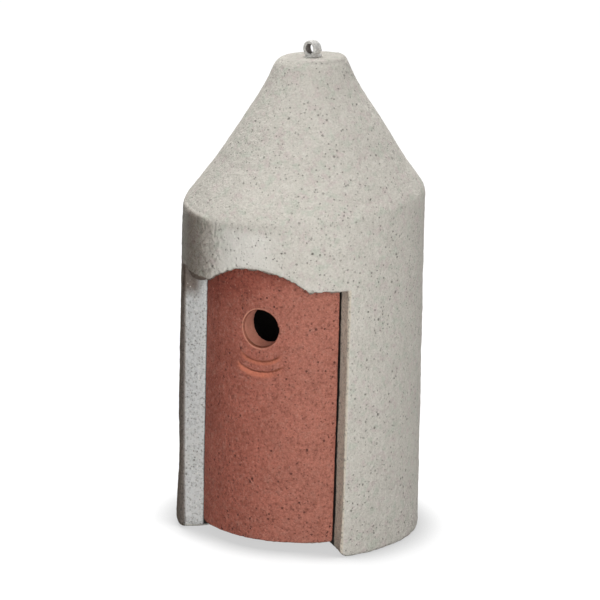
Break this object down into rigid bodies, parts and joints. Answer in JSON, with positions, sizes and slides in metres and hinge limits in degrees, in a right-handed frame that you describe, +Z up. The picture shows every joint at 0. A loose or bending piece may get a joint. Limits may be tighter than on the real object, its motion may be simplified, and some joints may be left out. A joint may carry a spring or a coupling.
{
  "type": "hanging nest box",
  "caption": "Free-hanging round nest box of cast wood-fibre concrete with a conical roof, a swinging front panel with an entrance hole, and a metal hanging eye.",
  "frame": {"origin": "middle of the flat base, on the axis of the round body", "axes": "+Z up, the front panel and its entrance hole face -Y, +X to the right of a viewer who faces the panel"},
  "size_m": [0.16, 0.1584, 0.3225],
  "materials": {
    "cast_body": "rough, speckled wood-fibre concrete",
    "clay_panel": "rough, reddish-brown wood-fibre concrete",
    "galvanised": "dull, galvanised"
  },
  "bodies": {
    "casting": {"floor": "cast_body", "wall_left_front": "cast_body", "wall_left": "cast_body", "wall_back_left": "cast_body", "wall_back_right": "cast_body", "wall_right": "cast_body", "wall_right_front": "cast_body", "hood_left": "cast_body", "hood_centre": "cast_body", "hood_right": "cast_body", "roof_front_left": "cast_body", "roof_front_right": "cast_body", "roof_left_front": "cast_body", "roof_left": "cast_body", "roof_back_left": "cast_body", "roof_back_right": "cast_body", "roof_right": "cast_body", "roof_right_front": "cast_body", "roof_crown": "cast_body", "roof_neck": "cast_body", "roof_cap": "cast_body", "pivot_pin_left": "galvanised", "pivot_pin_right": "galvanised", "hanging_eye": "galvanised"},
    "panel": {"front_panel": "clay_panel"}
  },
  "joints": [
    {"name": "front_panel_tilt", "type": "hinge", "parent": "casting", "child": "panel", "pos_m": [0, -0.04483, 0.18762], "axis": [-1, 0, 0], "range_deg": [0, 15]}
  ]
}
